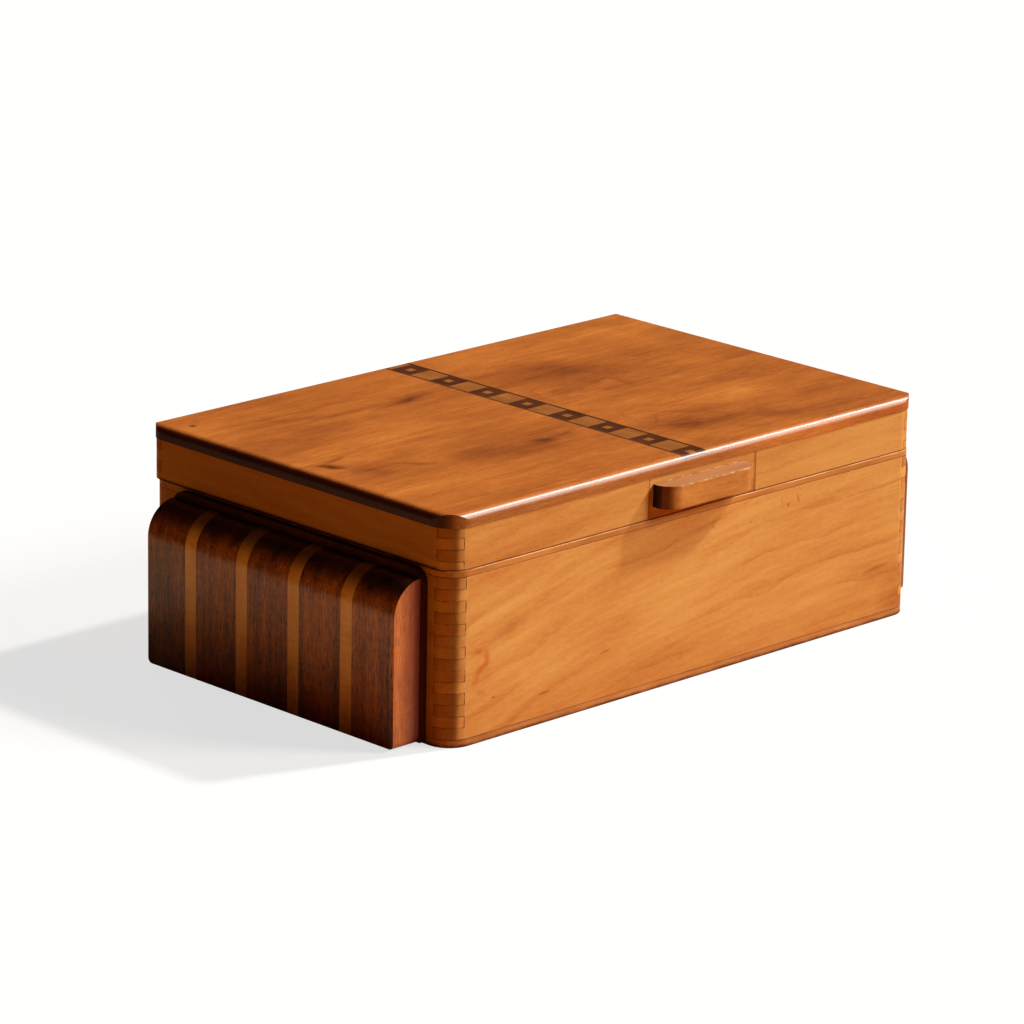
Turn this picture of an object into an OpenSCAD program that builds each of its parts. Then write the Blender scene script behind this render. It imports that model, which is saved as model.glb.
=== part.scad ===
// Hinged wooden box for papers and keepsakes.
// Base and lid are finger-jointed carcasses with rounded corners. The base stands on a bottom
// panel and carries a mitred lipping. The lid is closed by two edge-joined boards with an inlaid
// band. A laminated block on a backing plate is glued to each end, and two butt hinges let into
// the back hold the lid. All sizes are in millimetres.
// The origin is the centre of the base's plan, on the surface that the box stands on. X runs
// along the front to the right, Y from front to back and Z up.

/* [Base] */
// Length of the box along its front
box_l = 365; // [300:1:420]
// Depth of the box from front to back
box_d = 239; // [230:1:280]
// Radius of the upright outer corners
corner_r = 14.5; // [12.5:0.5:18]
// Thickness of the base's wall boards
wall_t = 12; // [11:0.5:14]
// Height of one finger of the corner joints
finger_h = 6.35; // [5.5:0.05:8]
// Pairs of fingers in a corner of the base
finger_pairs = 7; // [5:1:9]
// Thickness of the panel planted under the walls
bottom_t = 4.5; // [3:0.5:8]
// Thickness of the lipping on the base's rim
lipping_t = 3.6; // [3.2:0.1:5]

/* [Lid] */
// Thickness of the lid's wall boards
lid_wall_t = 10.8; // [10.4:0.1:12]
// Height of the lid's lowest finger, where the saw cut the lid from the base
lid_low_finger = 4.8; // [4:0.1:6]
// Height of the lid's uppermost finger, planed down to the joint with the top
lid_top_finger = 5.4; // [4:0.1:6]
// Gap between the closed lid and the rim
seam_gap = 0.3; // [0.2:0.05:0.5]
// Distance of the lid's front behind the base's front
lid_setback = 0.4; // [0.2:0.1:1]
// Radius of the lid's two back corners, which are rounded less than the others
lid_back_r = 10.5; // [8:0.5:16]
// Thickness of the top boards
top_t = 7.8; // [6:0.1:10]
// Projection of the top past the lid's walls
top_overhang = 0.4; // [0.1:0.1:2]
// Radius of the rounded upper edge of the top
top_edge_r = 4.3; // [2:0.1:5]
// Place of the joint between the two top boards, from the middle towards the back
top_joint_y = 0.5; // [-20:0.5:20]

/* [Inlay] */
// Place of the band's centre line, from the middle to the right
inlay_x = 0.6; // [-60:0.2:60]
// Width of the squares across the band
inlay_core_w = 15.2; // [12:0.1:20]
// Width of each dark line along the band's sides
inlay_line_w = 1.8; // [1:0.1:3]
// Length of one square along the band
inlay_square = 15.7; // [14:0.1:20]
// Length of the dark square that the front edge cuts short
inlay_first = 12.1; // [8:0.1:14]
// Side of the light centre in each dark square
inlay_eye = 4.8; // [3:0.1:6]
// Depth that the band is let into the top
inlay_depth = 2; // [1.5:0.1:3]

/* [Pull] */
// Length of the block let into the front of the lid
patch_l = 84.1; // [77:0.1:90]
// Place of that block's centre, from the middle to the right
patch_x = 6.95; // [-20:0.05:20]
// Depth that it is let into the lid's front board
patch_depth = 6; // [4:0.5:7]
// Length of the pull
pull_l = 70.5; // [60:0.1:75]
// Distance from the block's left end to the pull's left end
pull_inset = 3.4; // [0:0.1:6]
// Distance that the pull stands out
pull_out = 12.3; // [11.5:0.1:25]
// Height of the pull
pull_h = 12.8; // [9:0.1:14]
// Distance from the lid walls' upper edge down to the pull
pull_drop = 3.5; // [1.5:0.1:4]
// Radius of the pull's two free corners
pull_corner_r = 10.5; // [4:0.5:11]
// Distance between the two screws that hold the pull
pull_screw_pitch = 40; // [24:1:44]

/* [End blocks] */
// Thickness of the backing plate
plate_t = 4.5; // [3:0.1:8]
// Distance from the rim down to the plate's upper edge
plate_drop = 0.5; // [0.3:0.1:3]
// Distance that the plate shows past each end of the block
plate_margin = 0.6; // [0.2:0.1:2]
// Radius of the plate's upper corners
plate_corner_r = 8; // [3:0.5:12]
// Thickness of the block, and radius of its rounded upper edge
block_t = 18.7; // [12:0.1:25]
// Width of one walnut piece of the block
walnut_w = 32.3; // [28:0.1:33]
// Width of one light strip of the block
strip_w = 8.85; // [5:0.05:10]
// Length of the block, cut from the glued-up pieces so that the last walnut one is narrower
block_l = 195.3; // [185:0.1:200]
// Distance from the front to the left block, and from the back to the right one
block_inset = 17.4; // [16:0.1:20]
// Distance from the rim down to the block's top
block_drop = 5; // [3.5:0.1:10]
// Clearance under the plate and the block
block_lift = 1.5; // [0.5:0.1:4]
// Radius of the block's eased lower corners at its two ends
block_foot_r = 3; // [1:0.5:6]

/* [Hinges] */
// Distance from the box's end to the middle of a hinge
hinge_inset = 52; // [40:1:80]
// Length of a hinge
hinge_l = 38; // [34:1:50]
// Width of a leaf from the pin's axis to its free edge
leaf_w = 7.6; // [7.2:0.1:7.8]
// Thickness of a leaf
leaf_t = 1.35; // [1.2:0.05:1.6]
// Radius of the barrel, which is flush with the back
barrel_r = 2.2; // [2:0.05:2.4]
// Radius of the pin
pin_r = 0.95; // [0.8:0.05:1.1]
// Angle to which the lid opens
open_angle = 100; // [92:1:104]
// Distance between the screws of a leaf
leaf_screw_pitch = 12.5; // [10:0.5:13]

/* [Hidden] */
$fn = 64;

// Directions along X and Z, used to mirror pieces
left = -1;
right = 1;
below = -1;
above = 1;

// Levels of the base
wall_h = 2*finger_pairs*finger_h;
rim_z = bottom_t + wall_h;
base_h = rim_z + lipping_t;

// Levels and plan of the lid. The lid's front is set back and its back is flush with the base.
lid_z = base_h + seam_gap;
lid_wall_h = lid_low_finger + 2*finger_h + lid_top_finger;
top_z = lid_z + lid_wall_h;
lid_d = box_d - lid_setback;
lid_y = lid_setback/2;
lid_front_y = -box_d/2 + lid_setback;

// Plan of the top boards
top_l = box_l + 2*top_overhang;
top_d = lid_d + 2*top_overhang;
top_front_y = lid_y - top_d/2;
inlay_w = inlay_core_w + 2*inlay_line_w;
inlay_count = 1 + ceil((top_d - inlay_first)/inlay_square);

// Pieces of walnut in a block, and levels and place of the left block
block_pieces = 5;
block_y = -box_d/2 + block_inset;
block_h = base_h - block_drop - block_lift;

// Hinge axis and what follows from it. The slope planed on each back arris passes through the
// axis, and the two slopes meet just past the opening angle and stop the lid there.
pin_y = box_d/2 - barrel_r;
pin_z = base_h + seam_gap/2;
stop_play = 1;
stop_slope = (open_angle + stop_play)/2;
hinge_x = box_l/2 - hinge_inset;
knuckles = 5;
knuckle_l = hinge_l/knuckles;
knuckle_play = 0.2;
pin_play = 0.05;
notch_play = 0.15;
hinge_screw_r = 1.1;
hinge_screw_head_r = 2;
hinge_screw_l = 9.5;
hinge_screw_y = pin_y - (leaf_w + barrel_r + notch_play)/2;

// Middle of the pull, and the screws that hold it
pull_x = patch_x - patch_l/2 + pull_inset + pull_l/2;
pull_z = top_z - pull_drop - pull_h/2;
pull_screw_r = 1.75;
pull_screw_head_r = 3.4;
pull_screw_l = 20;

// Shape of every screw's slot and point
slot_w = 0.6;
slot_depth = 0.5;
point_r = 0.3;

// Overshoot of the cutting bodies
over = 1;

// Colours of the woods and the brass
cherry = "#cf8a48";
cherry_top = "#b8682f";
red_edge = "#9a5028";
walnut = "#4b2a18";
maple = "#c07c34";
ebonised = "#4a3325";
inlay_dark = "#5f3c28";
inlay_light = "#9a6c3c";
brass = "#b8923f";

// Plans and outlines

// Rectangle about the origin with one radius at its two left corners and one at the right ones
module rounded_plan(l, d, left_r, right_r) {
    translate([left_r - l/2, -d/2])
        square([l - left_r - right_r, d]);
    for (end = [[left, left_r], [right, right_r]]) {
        translate([end[0]*(l/2 - end[1]/2), 0])
            square([end[1], d - 2*end[1]], center = true);
        for (sy = [-1, 1])
            translate([end[0]*(l/2 - end[1]), sy*(d/2 - end[1])])
                circle(end[1]);
    }
}

// Plan of the base
module base_plan() {
    rounded_plan(box_l, box_d, corner_r, corner_r);
}

// Section of a slab, w wide and h high, with its two upper corners rounded
module eased_section(w, h, r) {
    square([w, h - r]);
    translate([r, 0])
        square([w - 2*r, h]);
    intersection() {
        for (x = [r, w - r])
            translate([x, h - r])
                circle(r);
        square([w, h]);
    }
}

// Finger joints

// Levels of the fingers that alternate up a corner, from their heights
function levels(z, heights, i = 0) =
    i == len(heights) ? [] : concat([[z, z + heights[i]]], levels(z + heights[i], heights, i + 1));

base_levels = levels(bottom_t, [for (i = [1 : 2*finger_pairs]) finger_h]);
lid_levels = levels(lid_z, [lid_low_finger, finger_h, finger_h, lid_top_finger]);

// Every second level, from the one with the given number
function alternate(all, start) = [for (i = [start : 2 : len(all) - 1]) all[i]];

// Wall board along the front of a plan l by d, t thick, from the lowest to the highest level.
// Its ends have sockets at the levels where the neighbouring boards have their fingers, and its
// left and right corners have their own radii.
module jointed_board(l, d, t, all, sockets, left_r, right_r) {
    z = all[0][0];
    top = all[len(all) - 1][1];
    difference() {
        translate([0, 0, z])
            linear_extrude(top - z)
                intersection() {
                    rounded_plan(l, d, left_r, right_r);
                    translate([-l/2, -d/2])
                        square([l, t]);
                }
        for (level = sockets, end = [left, right]) {
            low = level[0] - (level[0] == z ? over : 0);
            high = level[1] + (level[1] == top ? over : 0);
            translate([end*(l/2 - t/2 + over/2), -d/2 + t/2, (low + high)/2])
                cube([t + over, t + 2*over, high - low], center = true);
        }
    }
}

// Base

// Panel planted under the walls, which the box stands on
module bottom_panel() {
    color(red_edge)
        linear_extrude(bottom_t)
            base_plan();
}

// Board along the base's front, or turned, along its back
module base_long_board() {
    jointed_board(box_l, box_d, wall_t, base_levels, alternate(base_levels, 1), corner_r, corner_r);
}

module base_front_board() {
    color(cherry)
        base_long_board();
}

// The back board also takes the screws of the hinges' base leaves
module base_back_board() {
    color(cherry)
        difference() {
            rotate(180)
                base_long_board();
            back_arris_slope(below);
            hinge_notches(below);
            leaf_screw_holes(below);
        }
}

// Side board of the base, with its fingers in the sockets of the front and back boards
module base_side_board(side) {
    color(cherry)
        rotate(side*90)
            jointed_board(box_d, box_l, wall_t, base_levels, alternate(base_levels, 0), corner_r, corner_r);
}

// Strip of the rim's lipping on one of the four sides, mitred at both ends. Turned by the angle
// turn, its length lies along the front of a plan l by d.
module lipping_strip(l, d, turn) {
    half = d/2 + over;
    run = l/2 - d/2;
    rotate(turn)
        translate([0, 0, rim_z])
            linear_extrude(lipping_t)
                intersection() {
                    difference() {
                        rounded_plan(l, d, corner_r, corner_r);
                        square([l - 2*wall_t, d - 2*wall_t], center = true);
                    }
                    polygon([[-run - half, -half], [run + half, -half], [run, 0], [-run, 0]]);
                }
}

module lipping_front() {
    color(red_edge)
        lipping_strip(box_l, box_d, 0);
}

// The back lipping holds the base leaves of both hinges, and its back arris is planed to the stop
module lipping_back() {
    color(red_edge)
        difference() {
            lipping_strip(box_l, box_d, 180);
            back_arris_slope(below);
            hinge_notches(below);
            leaf_screw_holes(below);
        }
}

// The side strips' mitres start where the front's end, so they meet along the same lines
module lipping_side(side) {
    color(red_edge)
        translate([0, 0, rim_z])
            linear_extrude(lipping_t)
                intersection() {
                    difference() {
                        base_plan();
                        square([box_l - 2*wall_t, box_d - 2*wall_t], center = true);
                    }
                    polygon([
                        [side*(box_l - box_d)/2, 0],
                        [side*(box_l/2 + over), -box_d/2 - over],
                        [side*(box_l/2 + over), box_d/2 + over],
                    ]);
                }
}

// End blocks

// Puts what is made for the left end there, or turned half round at the right end. So the right
// block's pieces are numbered from the back.
module at_end(side) {
    rotate(side == right ? 180 : 0)
        children();
}

// Thin plate of dark wood between the block and the end of the box
module backing_plate(side) {
    plate_l = block_l + 2*plate_margin;
    plate_h = base_h - plate_drop - block_lift;
    color(red_edge)
        at_end(side)
            translate([-box_l/2 - plate_t, block_y - plate_margin, block_lift])
                rotate([90, 0, 90])
                    linear_extrude(plate_t)
                        eased_section(plate_l, plate_h, plate_corner_r);
}

// Length of the block between two distances from its first end, with the rounded upper edge
module block_length(from, to) {
    translate([-box_l/2 - plate_t, block_y + to, block_lift])
        rotate([90, 0, 0])
            linear_extrude(to - from)
                mirror([1, 0])
                    intersection() {
                        square([block_t, block_h]);
                        union() {
                            square([block_t, block_h - block_t]);
                            translate([0, block_h - block_t])
                                circle(block_t);
                        }
                    }
}

// Silhouette of the block from its end side, with the two lower corners eased
module block_foot() {
    translate([-box_l, block_y, block_lift + block_h + over])
        rotate([90, 0, 90])
            mirror([0, 1])
                linear_extrude(box_l)
                    eased_section(block_l, block_h + over, block_foot_r);
}

// Walnut piece of a block. The first and the last one have the eased corners.
module walnut_piece(side, i) {
    from = (i - 1)*(walnut_w + strip_w);
    color(walnut)
        at_end(side)
            if (i == 1 || i == block_pieces)
                intersection() {
                    block_length(from, i == 1 ? walnut_w : block_l);
                    block_foot();
                }
            else
                block_length(from, from + walnut_w);
}

// Light strip after the walnut piece of the same number
module light_strip(side, i) {
    from = i*walnut_w + (i - 1)*strip_w;
    color(maple)
        at_end(side)
            block_length(from, from + strip_w);
}

// Lid

// Board along the lid's front, or turned, along its back, with the radius of its two corners
module lid_long_board(r) {
    jointed_board(box_l, lid_d, lid_wall_t, lid_levels, alternate(lid_levels, 0), r, r);
}

// The front board is housed from top to bottom for the block that the pull stands on
module lid_front_board() {
    color(cherry)
        difference() {
            translate([0, lid_y, 0])
                lid_long_board(corner_r);
            patch_body(over);
            pull_screw_holes();
        }
}

// The back board holds the lid leaves of both hinges in its lower edge
module lid_back_board() {
    color(cherry)
        difference() {
            translate([0, lid_y, 0])
                rotate(180)
                    lid_long_board(lid_back_r);
            back_arris_slope(above);
            hinge_notches(above);
            leaf_screw_holes(above);
        }
}

// The side boards' lowest fingers reach round the back corners, so they are planed to the stop too
module lid_side_board(side) {
    left_r = side == left ? lid_back_r : corner_r;
    right_r = side == left ? corner_r : lid_back_r;
    color(cherry)
        difference() {
            translate([0, lid_y, 0])
                rotate(side*90)
                    jointed_board(lid_d, box_l, lid_wall_t, lid_levels, alternate(lid_levels, 1),
                        left_r, right_r);
            back_arris_slope(above);
        }
}

// Whole top before it is parted and inlaid. Its four upper edges are planed round along their
// whole length, and the corners are cut round afterwards, so they keep a crisp upper edge.
module top_blank() {
    translate([0, lid_y, top_z])
        intersection() {
            linear_extrude(top_t)
                rotate(90)
                    rounded_plan(top_d, top_l, corner_r + top_overhang, lid_back_r + top_overhang);
            translate([-top_l/2, -top_d/2, 0])
                rotate([90, 0, 90])
                    linear_extrude(top_l)
                        eased_section(top_d, top_t, top_edge_r);
            translate([-top_l/2, top_d/2, 0])
                rotate([90, 0, 0])
                    linear_extrude(top_d)
                        eased_section(top_l, top_t, top_edge_r);
        }
}

// One of the two top boards, between two distances from the box's middle
module top_board(from, to) {
    color(cherry_top)
        difference() {
            intersection() {
                top_blank();
                translate([-top_l, from, top_z - over])
                    cube([2*top_l, to - from, top_t + 2*over]);
            }
            translate([inlay_x - inlay_w/2, -top_d, top_z + top_t - inlay_depth])
                cube([inlay_w, 2*top_d, inlay_depth + over]);
        }
}

// Inlay

// Levels a piece of the band with the top, so that it follows the rounded edges
module planed_with_top() {
    intersection() {
        top_blank();
        translate([inlay_x, 0, top_z + top_t - inlay_depth])
            linear_extrude(inlay_depth + over)
                children();
    }
}

// Front end of the square with the given number: the first one is cut short by the front edge
function square_y(i) = top_front_y + inlay_first + (i - 1)*inlay_square;

// Outline of the band's square with the given number
module square_outline(i) {
    translate([-inlay_core_w/2, square_y(i)])
        square([inlay_core_w, inlay_square]);
}

// Outline of the light centre in the dark square with the given number
module centre_outline(i) {
    translate([0, square_y(i) + inlay_square/2])
        square(inlay_eye, center = true);
}

module inlay_dark_squares() {
    color(inlay_dark)
        planed_with_top()
            for (i = [0 : 2 : inlay_count - 1])
                difference() {
                    square_outline(i);
                    centre_outline(i);
                }
}

module inlay_light_squares() {
    color(inlay_light)
        planed_with_top()
            for (i = [1 : 2 : inlay_count - 1])
                square_outline(i);
}

module inlay_light_centres() {
    color(inlay_light)
        planed_with_top()
            for (i = [0 : 2 : inlay_count - 1])
                centre_outline(i);
}

// Dark line along one side of the band
module inlay_line(side) {
    color(ebonised)
        planed_with_top()
            translate([side*(inlay_core_w + inlay_line_w)/2, 0])
                square([inlay_line_w, 2*top_d], center = true);
}

// Pull

// Block let into the front of the lid, with its height lengthened both ways by extra
module patch_body(extra) {
    translate([patch_x - patch_l/2, lid_front_y - extra, lid_z - extra])
        cube([patch_l, patch_depth + extra, lid_wall_h + 2*extra]);
}

module pull_patch() {
    color(cherry)
        difference() {
            patch_body(0);
            pull_screw_holes();
        }
}

// Bar with two rounded free corners
module pull() {
    color(cherry_top)
        difference() {
            translate([pull_x - pull_l/2, lid_front_y, pull_z - pull_h/2])
                linear_extrude(pull_h)
                    mirror([0, 1])
                        eased_section(pull_l, pull_out, pull_corner_r);
            pull_screw_holes();
        }
}

// Places of the two screws that hold the pull from inside the lid
module at_pull_screws() {
    for (end = [left, right])
        translate([pull_x + end*pull_screw_pitch/2, lid_front_y + lid_wall_t, pull_z])
            rotate([90, 0, 0])
                mirror([0, 0, 1])
                    children();
}

module pull_screw_holes() {
    at_pull_screws()
        screw_body(pull_screw_r, pull_screw_head_r, pull_screw_l, over);
}

module pull_screws() {
    color(brass)
        at_pull_screws()
            screw(pull_screw_r, pull_screw_head_r, pull_screw_l);
}

// Screws

// Countersunk screw that points down from a surface at the origin, without its slot. The hole
// for it is the same shape with a mouth that is open above the surface.
module screw_body(r, head_r, l, mouth = 0) {
    head_h = head_r - r;
    rotate_extrude()
        polygon([
            [0, mouth],
            [head_r, mouth],
            [head_r, 0],
            [r, -head_h],
            [r, -l + 2*r],
            [point_r, -l],
            [0, -l],
        ]);
}

// Screw with its slot
module screw(r, head_r, l) {
    difference() {
        screw_body(r, head_r, l);
        translate([0, 0, over - slot_depth])
            linear_extrude(2*over, center = true)
                square([2*head_r + over, slot_w], center = true);
    }
}

// Hinges

// Puts a shape made about the pin's axis at the middle of the hinge on one side, with level
// above for the lid's half and below for the base's half
module at_hinge(side, level) {
    translate([side*hinge_x, pin_y, pin_z])
        mirror([0, 0, level == below ? 1 : 0])
            children();
}

// Cylinder about the pin's axis, between two distances from the hinge's middle
module axis_cylinder(r, from, to) {
    translate([from, 0, 0])
        rotate([0, 90, 0])
            cylinder(h = to - from, r = r);
}

// Knuckles of one leaf from the left end: the base has the outer and middle ones
function knuckles_of(level) = [for (k = [0 : knuckles - 1]) if ((k % 2 == 0) == (level == below)) k];

// Barrel segments at the numbered knuckles, shortened by play at both ends
module segments(numbers, r, play) {
    for (k = numbers)
        axis_cylinder(r, -hinge_l/2 + k*knuckle_l + play/2, -hinge_l/2 + (k + 1)*knuckle_l - play/2);
}

// Flat of a leaf from its free edge to the axis, lying next to the seam. The mortise for it is
// the same shape, open towards the seam.
module leaf_flat(mouth = 0) {
    translate([-hinge_l/2, -leaf_w, seam_gap/2 - mouth])
        cube([hinge_l, leaf_w, leaf_t + mouth]);
}

// Leaf with its knuckles on the pin, clear of the other leaf's knuckles
module hinge_leaf(side, level) {
    bore_r = pin_r + (level == above ? pin_play : 0);
    color(brass)
        difference() {
            at_hinge(side, level)
                difference() {
                    union() {
                        leaf_flat();
                        segments(knuckles_of(level), barrel_r, knuckle_play);
                    }
                    segments(knuckles_of(-level), barrel_r + notch_play, -knuckle_play);
                    axis_cylinder(bore_r, -hinge_l/2 - over, hinge_l/2 + over);
                }
            leaf_screw_holes(level);
        }
}

// Pin, a press fit in the base's knuckles that the lid's knuckles turn on
module hinge_pin(side) {
    color(brass)
        at_hinge(side, above)
            axis_cylinder(pin_r, -hinge_l/2, hinge_l/2);
}

// Mortise for the leaf and round notch for the barrel, cut in the wood on one side of the seam
module hinge_notches(level) {
    for (side = [left, right])
        at_hinge(side, level) {
            leaf_flat(over);
            axis_cylinder(barrel_r + notch_play, -hinge_l/2 - notch_play, hinge_l/2 + notch_play);
        }
}

// Slope planed along a back arris, from the pin's axis outwards
module back_arris_slope(level) {
    reach = barrel_r + top_overhang + over;
    translate([-box_l/2 - over, pin_y, pin_z])
        mirror([0, 0, level == below ? 1 : 0])
            rotate([90, 0, 90])
                linear_extrude(box_l + 2*over)
                    polygon([[0, 0], [reach, 0], [reach, reach*tan(stop_slope)]]);
}

// Puts a screw's shape at each hole of both leaves on one side of the seam
module at_leaf_screws(level) {
    for (side = [left, right], i = [-1, 0, 1])
        translate([side*hinge_x + i*leaf_screw_pitch, hinge_screw_y, pin_z + level*seam_gap/2])
            mirror([0, 0, level == above ? 1 : 0])
                children();
}

module leaf_screw_holes(level) {
    at_leaf_screws(level)
        screw_body(hinge_screw_r, hinge_screw_head_r, hinge_screw_l, over);
}

module hinge_screws(level) {
    color(brass)
        at_leaf_screws(level)
            screw(hinge_screw_r, hinge_screw_head_r, hinge_screw_l);
}

bottom_panel();
base_front_board();
base_back_board();
base_side_board(left);  // base_left_board
base_side_board(right);  // base_right_board
lipping_front();
lipping_back();
lipping_side(left);  // lipping_left
lipping_side(right);  // lipping_right
backing_plate(left);  // left_backing_plate
backing_plate(right);  // right_backing_plate
walnut_piece(left, 1);  // left_walnut_1
walnut_piece(left, 2);  // left_walnut_2
walnut_piece(left, 3);  // left_walnut_3
walnut_piece(left, 4);  // left_walnut_4
walnut_piece(left, 5);  // left_walnut_5
light_strip(left, 1);  // left_light_strip_1
light_strip(left, 2);  // left_light_strip_2
light_strip(left, 3);  // left_light_strip_3
light_strip(left, 4);  // left_light_strip_4
walnut_piece(right, 1);  // right_walnut_1
walnut_piece(right, 2);  // right_walnut_2
walnut_piece(right, 3);  // right_walnut_3
walnut_piece(right, 4);  // right_walnut_4
walnut_piece(right, 5);  // right_walnut_5
light_strip(right, 1);  // right_light_strip_1
light_strip(right, 2);  // right_light_strip_2
light_strip(right, 3);  // right_light_strip_3
light_strip(right, 4);  // right_light_strip_4
hinge_leaf(left, below);  // left_hinge_base_leaf
hinge_leaf(right, below);  // right_hinge_base_leaf
hinge_pin(left);  // left_hinge_pin
hinge_pin(right);  // right_hinge_pin
hinge_screws(below);  // hinge_base_screws
lid_front_board();
lid_back_board();
lid_side_board(left);  // lid_left_board
lid_side_board(right);  // lid_right_board
top_board(-top_d, top_joint_y);  // top_board_front
top_board(top_joint_y, top_d);  // top_board_rear
inlay_dark_squares();
inlay_light_squares();
inlay_light_centres();
inlay_line(left);  // inlay_line_left
inlay_line(right);  // inlay_line_right
pull_patch();
pull();
pull_screws();
hinge_leaf(left, above);  // left_hinge_lid_leaf
hinge_leaf(right, above);  // right_hinge_lid_leaf
hinge_screws(above);  // hinge_lid_screws
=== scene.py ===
import math

import bpy
from mathutils import Matrix, Vector


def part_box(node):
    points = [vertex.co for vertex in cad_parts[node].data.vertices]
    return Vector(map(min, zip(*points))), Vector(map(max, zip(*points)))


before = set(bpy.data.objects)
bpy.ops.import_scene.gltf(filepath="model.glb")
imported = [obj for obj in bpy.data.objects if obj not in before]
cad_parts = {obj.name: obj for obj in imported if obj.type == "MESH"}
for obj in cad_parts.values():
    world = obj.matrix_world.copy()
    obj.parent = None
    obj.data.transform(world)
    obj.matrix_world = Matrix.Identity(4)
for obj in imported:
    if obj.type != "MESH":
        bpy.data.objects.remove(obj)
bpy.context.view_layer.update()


# Wall boards of the base and the lid
# Cherry boards, planed and finger-jointed, with the corners rounded once they were glued up.
# The varnish has aged to honey, and glue and dust have darkened the lines of the joints.

def srgb(code):
    """Linear colour of an sRGB hex value."""
    channels = [int(code[i:i + 2], 16) / 255 for i in (1, 3, 5)]
    return tuple(c / 12.92 if c <= 0.04045 else ((c + 0.055) / 1.055) ** 2.4 for c in channels) + (1.0,)


def add(tree, kind, inputs=(), stops=(), **settings):
    """Adds a node with its settings, values and links, and returns its outputs. A ramp's stops start
    with its lowest and its highest."""
    node = tree.nodes.new("ShaderNode" + kind)
    for name, value in settings.items():
        setattr(node, name, value)
    for name, value in dict(inputs).items():
        if isinstance(value, bpy.types.NodeSocket):
            tree.links.new(value, node.inputs[name])
        else:
            node.inputs[name].default_value = value
    for i, (place, code) in enumerate(stops):
        element = node.color_ramp.elements[i] if i < 2 else node.color_ramp.elements.new(place)
        element.position = place
        element.color = srgb(code)
    return node.outputs


def corners(node):
    """Lowest and highest corner of a piece of the frame, in millimetres."""
    return [[1000 * value for value in corner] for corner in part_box(node)]


def grain_space(tree, along, start):
    """Spot on the box in millimetres, the same with X along the grain, and how squarely that is cut."""
    turn = {"X": (0, 0, 0), "Y": (0, 0, -math.pi / 2), "Z": (0, math.pi / 2, 0)}[along]
    surface = add(tree, "TexCoord")
    spot = add(tree, "VectorMath", {0: surface["Object"], "Scale": 1000.0}, operation="SCALE")[0]
    place = add(tree, "Mapping", {"Vector": spot, "Location": start, "Rotation": turn})["Vector"]
    normal = add(tree, "SeparateXYZ", {0: surface["Normal"]})[along]
    cut = add(tree, "Math", {0: normal}, operation="ABSOLUTE")[0]
    return spot, place, cut


# Real fibres and pores are too fine to show. On all the woods they are drawn about half a
# millimetre to a millimetre wide.
def streaks(tree, place, length, width, detail=2.0, rough=0.55):
    """Noise drawn out along the grain, in marks of that length and width in millimetres."""
    stretch = (1 / length, 1 / width, 1 / width)
    drawn = add(tree, "VectorMath", {0: place, 1: stretch}, operation="MULTIPLY")[0]
    return add(tree, "TexNoise", {"Vector": drawn, "Scale": 1.0, "Detail": detail,
                                  "Roughness": rough})["Fac"]


def crisp_edges(tree, count):
    """Steps of one in a rising value, each of them dark at its start and soon fading."""
    within = add(tree, "Math", {0: count}, operation="FRACT")[0]
    fade = add(tree, "Math", {0: 1.0, 1: within}, operation="SUBTRACT")[0]
    return add(tree, "Math", {0: fade, 1: 4.0}, operation="POWER")[0]


def bent_grain(tree, place, across, climb, reach):
    """Along and across the grain, in millimetres, where it climbs along the board and then levels out."""
    straight = add(tree, "SeparateXYZ", {0: place})
    run = add(tree, "Math", {0: straight["X"], 1: -1 / reach}, operation="MULTIPLY")[0]
    bend = add(tree, "Math", {0: run}, operation="EXPONENT")[0]
    rise = add(tree, "Math", {0: bend, 1: climb, 2: straight[across]}, operation="MULTIPLY_ADD")[0]
    return add(tree, "CombineXYZ", {"X": straight["X"], "Y": rise})[0]


def growth_bands(tree, bent, spacing, wander):
    """Years of growth, as wide bands that darken to an edge. Some stand out and some hardly show."""
    rise = add(tree, "SeparateXYZ", {0: bent})["Y"]
    drift = streaks(tree, bent, 90, 30, 2.0)
    height = add(tree, "Math", {0: drift, 1: wander, 2: rise}, operation="MULTIPLY_ADD")[0]
    edge = crisp_edges(tree, add(tree, "Math", {0: height, 1: spacing}, operation="DIVIDE")[0])
    weight = add(tree, "MapRange", {0: streaks(tree, bent, 80, 12, 1.0), 1: 0.35, 2: 0.65})[0]
    return add(tree, "Math", {0: edge, 1: weight}, operation="MULTIPLY")[0]


# Where the marks on the front and the top are centred, and how far they reach into the wood
front_y, wall_reach = -119, 50
upper_z, top_reach = 128, 1000


def oval_space(tree, spot, face, centre, half_sizes, tilt):
    """Places measured from the centre of an oval on the front or the top, in its half sizes."""
    u, v = centre
    half_u, half_v = half_sizes
    turn = math.radians(tilt)
    if face == "front":
        oval = {"Location": (u, front_y, v), "Rotation": (0, -turn, 0), "Scale": (half_u, wall_reach, half_v)}
    else:
        oval = {"Location": (u, v, upper_z), "Rotation": (0, 0, turn), "Scale": (half_u, half_v, top_reach)}
    return add(tree, "Mapping", {"Vector": spot, **oval}, vector_type="TEXTURE")[0]


def patches(tree, spot, face, marks, shape="SPHERICAL"):
    """Soft ovals on a face, each with its centre, half sizes, tilt and depth of tone."""
    total = 0.0
    for centre, half_sizes, tilt, depth in marks:
        local = oval_space(tree, spot, face, centre, half_sizes, tilt)
        oval = add(tree, "TexGradient", {0: local}, gradient_type=shape)["Fac"]
        total = add(tree, "Math", {0: oval, 1: depth, 2: total}, operation="MULTIPLY_ADD")[0]
    return total


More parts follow.
